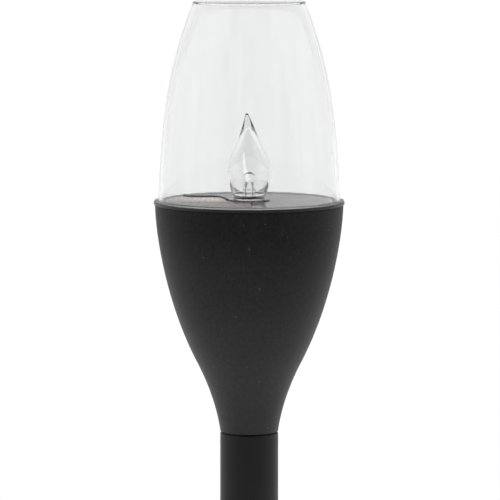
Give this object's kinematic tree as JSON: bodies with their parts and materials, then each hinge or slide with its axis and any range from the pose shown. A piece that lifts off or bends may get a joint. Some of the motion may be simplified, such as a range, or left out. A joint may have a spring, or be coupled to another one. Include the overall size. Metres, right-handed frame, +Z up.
{
  "type": "tiki torch",
  "caption": "Solar garden torch: a clear shade over a round solar deck with a flame-shaped lamp lens, on a flared black cup, sectional pole and ground spike.",
  "frame": {"origin": "on the pole axis at ground level, on the underside of the spike's step flange", "axes": "+Z up along the pole, towards the shade; +X to the right and -Y towards a viewer at the front; the battery lies along X"},
  "size_m": [0.0826, 0.083, 0.8187],
  "materials": {
    "black_plastic": "fine moulded texture",
    "pole_coating": "satin powder coat",
    "clear_plastic": "clear, polished",
    "lamp_epoxy": "clear, polished",
    "rubber": "matte",
    "steel": "bright zinc plate",
    "tinned_lead": "tinned copper",
    "solar_cell": "amorphous silicon, glossy",
    "circuit_board": "solder mask",
    "black_epoxy": "moulded",
    "component_body": "dipped coating",
    "red_insulation": "wire insulation",
    "black_insulation": "wire insulation",
    "battery_wrap": "shrink film",
    "white_plastic": "moulded"
  },
  "bodies": {
    "spike": {"ground_spike": "black_plastic"},
    "pole_lower": {"lower_pole": "pole_coating"},
    "coupler": {"pole_coupler": "black_plastic"},
    "pole_upper": {"upper_pole": "pole_coating"},
    "head": {"cup": "black_plastic"},
    "light_module": {"deck_housing": "black_plastic", "module_base": "black_plastic", "base_gasket": "rubber", "module_seal": "rubber", "housing_screw_1": "steel", "housing_screw_2": "steel", "housing_screw_3": "steel", "solar_board": "circuit_board", "solar_cell_1": "solar_cell", "solar_cell_2": "solar_cell", "solar_cell_3": "solar_cell", "solar_cell_4": "solar_cell", "solar_cover": "clear_plastic", "shade": "clear_plastic", "flame_lens": "clear_plastic", "lens_retaining_ring": "steel", "lamp": "lamp_epoxy", "lamp_lead_cathode": "tinned_lead", "lamp_lead_anode": "tinned_lead", "control_board": "circuit_board", "driver_chip": "black_epoxy", "choke": "component_body", "capacitor": "component_body", "board_screw_1": "steel", "board_screw_2": "steel", "battery": "battery_wrap", "battery_spring": "steel", "battery_contact": "steel", "switch_body": "black_epoxy", "panel_lead_red": "red_insulation", "battery_lead_red": "red_insulation", "switch_lead_red": "red_insulation", "panel_lead_black": "black_insulation", "battery_lead_black": "black_insulation", "switch_lead_black": "black_insulation", "door_hinge_pin": "steel"},
    "door": {"battery_door": "black_plastic"},
    "slider": {"switch_slider": "white_plastic"}
  },
  "joints": [
    {"name": "lower_pole_lift", "type": "slide", "parent": "spike", "child": "pole_lower", "axis": [0, 0, 1], "range_m": [0, 0.045]},
    {"name": "coupler_lift", "type": "slide", "parent": "pole_lower", "child": "coupler", "axis": [0, 0, 1], "range_m": [0, 0.03]},
    {"name": "upper_pole_lift", "type": "slide", "parent": "coupler", "child": "pole_upper", "axis": [0, 0, 1], "range_m": [0, 0.03]},
    {"name": "head_lift", "type": "slide", "parent": "pole_upper", "child": "head", "axis": [0, 0, 1], "range_m": [0, 0.033]},
    {"name": "module_lift", "type": "slide", "parent": "head", "child": "light_module", "axis": [0, 0, 1], "range_m": [0, 0.032]},
    {"name": "door_swing", "type": "hinge", "parent": "light_module", "child": "door", "pos_m": [0, 0.0056, 0.5367], "axis": [1, 0, 0], "range_deg": [0, 90]},
    {"name": "switch_slide", "type": "slide", "parent": "light_module", "child": "slider", "axis": [1, 0, 0], "range_m": [0, 0.0025]}
  ]
}
